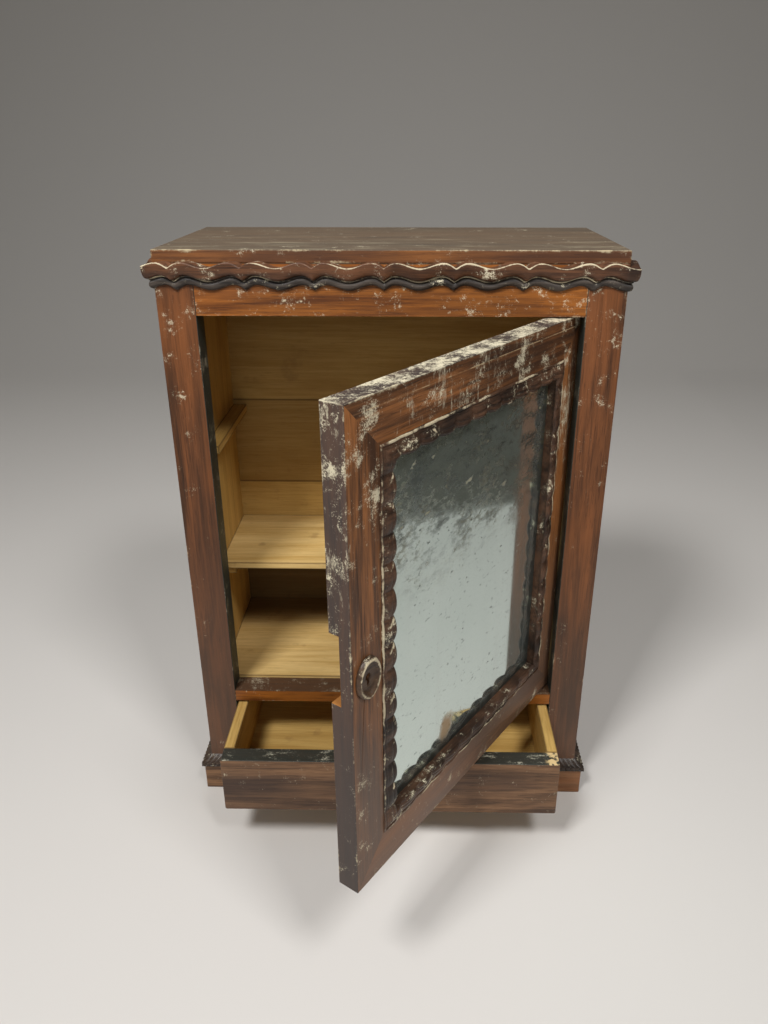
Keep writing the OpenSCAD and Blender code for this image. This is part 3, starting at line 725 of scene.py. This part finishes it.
def add_ripple():
    """Four mitred lengths of ripple moulding round the mirror. Each face line runs at its own distance across,
    so the mitre is where the run from the corner equals that distance."""
    glass_low, glass_high = closed_box("mirror_glass")
    low, high = closed_box("door_stile_free")
    inset = glass_low[0] - low[0]
    corner_low = glass_low - inset
    corner_high = glass_high + inset
    face_y = low[1]
    across, share, rub = ripple_face()
    wall = RIPPLE_W - 2 * MM
    back = np.array([[wall, 0], [wall, -MIRROR_SET], [6 * MM, -MIRROR_SET], [6 * MM, 0]])
    draw_in = np.concatenate([1.7 * MM * np.clip(across / RIPPLE_W * 2 - 1, 0, 1), np.zeros(4)])
    across = DOOR_FLAT + np.concatenate([across, back[:, 0]])
    under = np.concatenate([np.zeros(len(share)), back[:, 1]])
    share = np.concatenate([share, np.zeros(4)])
    rub = np.concatenate([rub, np.zeros(4)])
    polish = dark_moulding("ripple_polish", 0.22, (96, 68, 50), (40, 28, 21), body="door")
    material = polish.done(0.15)
    for side in ("free", "hinge", "top", "bottom"):
        upright = side in ("free", "hinge")
        length = (corner_high - corner_low)[2 if upright else 0]
        run = length - 2 * DOOR_FLAT
        count = round(run / RIPPLE_PITCH)
        part = np.linspace(0, 1, count * 20 + 1)[:, None]
        s = across[None, :] + part * (length - 2 * across)[None, :]
        wave_s = (s - DOOR_FLAT) * count * RIPPLE_PITCH / run
        high_s = lobes(wave_s)
        out = share[None, :] * high_s + under[None, :]
        # Painted highlight: a pale mark on each lobe's shoulder just short of the next notch, where the lobe faces up
        # to the light. It is added to the rub value beside the rubbed wear on the crests.
        phase = wave_s / RIPPLE_PITCH - np.floor(wave_s / RIPPLE_PITCH)
        lean = 0.84 + 0.9 * (across[None, :] - DOOR_FLAT - RIPPLE_W * 0.7) / RIPPLE_PITCH
        shoulder_highlight = np.exp(-((phase - lean) / 0.06) ** 2)
        values = rub[None, :] + 0.6 * shoulder_highlight * share[None, :] ** 2
        inner = across[None, :] - draw_in[None, :] * (RIPPLE_OUT - high_s) / (RIPPLE_OUT - RIPPLE_NOTCH)
        first, second = (inner, s) if upright else (s, inner)
        x = corner_high[0] - first if side == "hinge" else corner_low[0] + first
        z = corner_high[2] - second if side == "top" else corner_low[2] + second
        points = turned(np.stack([x, face_y - out, z], -1), DOOR_TURN)
        piece = solid(f"ripple_{side}_moulding", points, "ripple_" + side, values)
        piece.data.materials.append(material)


def add_escutcheon():
    """Carved oval ring: from the rim inwards it rises to a round lip, falls to a dished floor and ends at the
    keyhole, whose outline is a circle with a slot below. The surface is closed behind."""
    low, high = closed_box("escutcheon")
    door_low, _ = closed_box("door_stile_free")
    centre_x, centre_z = (low[0] + high[0]) / 2, (low[2] + high[2]) / 2
    half = np.array([high[0] - low[0], high[2] - low[2]]) / 2
    face = door_low[1]
    angle = np.linspace(0, 2 * np.pi, 97)[:-1]
    oval = np.stack([np.cos(angle) * half[0], np.sin(angle) * half[1]], 1)
    key_r, slot_w, slot_drop = 2.6 * MM, 1.3 * MM, 7 * MM
    reach = np.full(len(angle), key_r)
    down = -np.sin(angle)
    sideways = np.abs(np.cos(angle))
    slot_reach = np.minimum(slot_w / np.maximum(sideways, 1e-6), slot_drop / np.maximum(down, 1e-6))
    reach = np.where(down > 0, np.maximum(reach, slot_reach), reach)
    hole = np.stack([np.cos(angle) * reach, np.sin(angle) * reach + 1 * MM], 1)
    share = np.array([0, 0.0, 0.04, 0.1, 0.17, 0.25, 0.33, 0.4, 0.46, 0.52, 0.6, 0.72, 0.85, 1.0, 1.0])
    lift = np.array([0, 0.9, 2.2, 3.3, 3.9, 3.9, 3.2, 2.2, 1.5, 1.2, 1.05, 1.0, 1.0, 1.0, 0.0]) * MM
    ring = oval[None] * (1 - share[:, None, None]) + hole[None] * share[:, None, None]
    x = centre_x + ring[..., 0]
    z = centre_z + ring[..., 1]
    y = face - np.broadcast_to(lift[:, None], x.shape)
    points = np.stack([x, y, z], -1)
    points = turned(points, DOOR_TURN)
    rows, columns = points.shape[:2]
    i = np.arange(rows)[:, None]
    j = np.arange(columns)[None, :]
    row, next_row, next_column = i * columns, ((i + 1) % rows) * columns, (j + 1) % columns
    corners = (row + j, row + next_column, next_row + next_column, next_row + j)
    quads = np.stack(np.broadcast_arrays(*corners), -1)
    mesh = bpy.data.meshes.new("keyhole_ring")
    mesh.from_pydata(points.reshape(-1, 3).tolist(), [], quads.reshape(-1, 4).tolist())
    mesh.shade_smooth()
    rub = np.array([0, 0.1, 0.3, 0.6, 0.9, 0.7, 0.2, 0, 0.2, 0.35, 0.2, 0, 0, 0, 0])
    layer = mesh.attributes.new("rub", "FLOAT", "POINT")
    layer.data.foreach_set("value", np.repeat(rub, columns).astype(np.float32))
    mesh.validate()
    piece = bpy.data.objects.new("keyhole_ring", mesh)
    bpy.context.scene.collection.objects.link(piece)
    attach(piece, "door")
    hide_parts("escutcheon")
    polish = dark_moulding("ring_polish", 0.3, (92, 70, 52), (40, 32, 28), body="door")
    piece.data.materials.append(polish.done())


# ---------- boards ----------


def soften(node, width):
    """Joins the board's loose triangles and rounds its arrises."""
    board = frame["nodes"][node]
    weld = board.modifiers.new("join", "WELD")
    weld.merge_threshold = 0.00001
    bevel = board.modifiers.new("arris", "BEVEL")
    bevel.width = width
    bevel.segments = 3
    bevel.limit_method = "ANGLE"
    bevel.angle_limit = math.radians(50)


def finish_node(node, material, soft=0.8 * MM):
    data = frame["nodes"][node].data
    data.materials.clear()
    data.materials.append(material)
    if soft:
        soften(node, soft)


def finish_boards():
    finish_node("stile_left", stile("stile_left", 0.3, "Right"))
    finish_node("stile_right", stile("stile_right", 1.1, "Left"))
    for n, node in enumerate(("top_rail", "mid_rail", "base_rail")):
        finish_node(node, rail(node, 1.9 + n))
    finish_node("side_left", side_panel("side_left", 6.1, "Right"))
    finish_node("side_right", side_panel("side_right", 7.3, "Left"))
    finish_node("top_board", top_finish("top_board"), 1.1 * MM)
    for n, node in enumerate(("plinth_front", "plinth_left", "plinth_right")):
        along = "x" if n == 0 else "y"
        finish, _ = frame_board(node, UMBER, along, 8.0 + n)
        finish_node(node, finish.done())
    inside = [("back_lower", HONEY, 0.1), ("back_middle", HONEY, 0.45), ("back_upper", HONEY, 0.3),
              ("compartment_floor", PALE_HONEY, 0.0), ("case_bottom", HONEY, 0.3), ("shelf", PALE_HONEY, 0.0)]
    for n, (node, tones, shade) in enumerate(inside):
        finish = bare_wood(node, "x", 12.0 + n, tones, shade=shade)
        if node in ("back_lower", "compartment_floor"):
            dark_corner(finish)
        finish_node(node, finish.done(0.15), 0.5 * MM)
    bearers = [f"{kind}_{side}" for kind in ("shelf_bearer", "upper_bearer", "drawer_guide") for side in SIDES]
    for n, node in enumerate(bearers):
        finish_node(node, bare(node, "y", 21.0 + n), 0.5 * MM)
    iron = iron_finish()
    for node in ("back_nails", "pivot_plate_top", "pivot_plate_bottom", "backing_nails", "hinge_pin_top",
                 "hinge_pin_bottom", "pivot_washer", "drawer_nails"):
        finish_node(node, iron, 0)


def finish_door():
    for n, (node, along) in enumerate([("door_stile_free", "z"), ("door_stile_hinge", "z"),
                                       ("door_rail_top", "x"), ("door_rail_bottom", "x")]):
        finish = door_member(node, along, 30.0 + n * 1.7)
        if node == "door_stile_free":
            lock_break(finish)
        finish_node(node, finish.done(0.3), 0.9 * MM)
    finish_node("mirror_glass", mirror_finish(), 0)
    backing = bare("backing_board", "x", 40.0, (srgb(176, 142, 92), srgb(120, 90, 54)), body="door")
    finish_node("backing_board", backing, 0.5 * MM)


def finish_drawer():
    finish = Finish("stain_drawer", along="x", shift=45.0).wood(*UMBER, roughness=0.5)
    finish.patches(5, 0.45, 0.62, srgb(52, 40, 36), 0.7, stretch=(0.5, 2, 2))
    finish.patches(8, 0.55, 0.7, srgb(132, 84, 52), 0.6, stretch=(0.4, 2.5, 2.5))
    faces = worn(finish, "drawer_front", rub=0.02, rub_width=0.0035, fleck=0.02)
    finish.paint(finish.math("MULTIPLY", faces["Top"], 0.92), GREEN_BLACK, 0.45)
    scratch = finish.vector("MULTIPLY", finish.place, (1, 2.2, 1))
    marks = finish.use(FLECKS, {"Vector": scratch, "Size": 0.011, "Amount": 0.12})
    finish.paint(finish.all(marks.outputs[0], faces["Top"]), srgb(176, 172, 152), 0.8)
    low, high = closed_box("drawer_front")
    chip = finish.all(finish.step(finish.xyz[0], high[0] - 15 * MM, high[0] - 9 * MM),
                      finish.step(finish.noise(finish.place, 160, 3), 0.42, 0.52), faces["Top"])
    finish.paint(chip, srgb(214, 186, 134), 0.8)
    finish_node("drawer_front", finish.done(), 1.2 * MM)
    for n, (node, along) in enumerate([("drawer_side_left", "y"), ("drawer_side_right", "y"),
                                       ("drawer_back", "x"), ("drawer_bottom", "x")]):
        finish_node(node, bare(node, along, 50.0 + n), 0.6 * MM)


# ---------- stage ----------


def add_stage():
    """Pale seamless floor that curves up into a backdrop, a dark card that only the mirror sees, and
    three soft lights."""
    turn = np.linspace(0, np.pi / 2, 25)
    radius, flat_to, front_to = 1.8, 1.7, -9.0
    y = np.concatenate([[front_to, flat_to * 0.3], flat_to + radius * np.sin(turn), [flat_to + radius]])
    z = np.concatenate([[0.0, 0.0], radius * (1 - np.cos(turn)), [12.0]])
    x = np.array([-22.0, 22.0])
    points = np.stack([np.repeat(x, len(y)), np.tile(y, 2), np.tile(z, 2)], 1)
    n = len(y)
    faces = [[i, i + n, i + n + 1, i + 1] for i in range(n - 1)]
    mesh = bpy.data.meshes.new("backdrop")
    mesh.from_pydata(points.tolist(), [], faces)
    mesh.shade_smooth()
    sweep = bpy.data.objects.new("backdrop", mesh)
    bpy.context.scene.collection.objects.link(sweep)
    material = bpy.data.materials.new("backdrop_paper")
    material.use_nodes = True
    shader = material.node_tree.nodes["Principled BSDF"]
    shader.inputs["Base Color"].default_value = srgb(214, 210, 205)
    shader.inputs["Roughness"].default_value = 0.85
    mesh.materials.append(material)
    card_mesh = bpy.data.meshes.new("dark_card")
    card_mesh.from_pydata([(0.84, -2, 0.004), (4, -2, 0.004), (4, 4, 0.004), (0.84, 4, 0.004)], [], [[0, 1, 2, 3]])
    card = bpy.data.objects.new("dark_card", card_mesh)
    bpy.context.scene.collection.objects.link(card)
    dark = bpy.data.materials.new("dark_card")
    dark.use_nodes = True
    dark.node_tree.nodes["Principled BSDF"].inputs["Base Color"].default_value = srgb(74, 70, 56)
    card_mesh.materials.append(dark)
    card.visible_camera = card.visible_diffuse = card.visible_shadow = card.visible_transmission = False
    lights = [("left_light", (-0.7, -1.15, 2.1), 0.5, 17, 120), ("right_light", (0.75, -1.15, 2.2), 0.5, 10.5, 120),
              ("front_light", (0.1, -2.4, 1.2), 1.2, 3, 120)]
    for name, place, size, power, spread in lights:
        light = bpy.data.lights.new(name, "AREA")
        light.size = size
        light.energy = power
        light.spread = math.radians(spread)
        lamp = bpy.data.objects.new(name, light)
        lamp.location = place
        lamp.rotation_euler = (Vector((0, 0, 0.25)) - Vector(place)).to_track_quat("-Z", "Y").to_euler()
        bpy.context.scene.collection.objects.link(lamp)
    world = bpy.data.worlds.new("room")
    world.use_nodes = True
    world.node_tree.nodes["Background"].inputs[0].default_value = (0.8, 0.79, 0.76, 1)
    world.node_tree.nodes["Background"].inputs[1].default_value = 0.2
    bpy.context.scene.world = world
    bpy.context.scene.view_settings.view_transform = "Standard"


def add_camera():
    """Above the cabinet and in front of it, tilted down; the picture's middle is a little left of the axis."""
    data = bpy.data.cameras.new("camera")
    data.sensor_width = 36
    data.lens = 28.357
    data.shift_x = -0.0155
    data.clip_start = 0.02
    camera = bpy.data.objects.new("camera", data)
    camera.location = (0.02204, -0.70883, 0.65616)
    camera.rotation_euler = (math.radians(90 - 24.567), 0, math.radians(1.128))
    bpy.context.scene.collection.objects.link(camera)
    bpy.context.scene.camera = camera


add_camera()
add_stage()
finish_boards()
finish_door()
finish_drawer()
add_cornice_and_ribs()
add_ripple()
add_escutcheon()
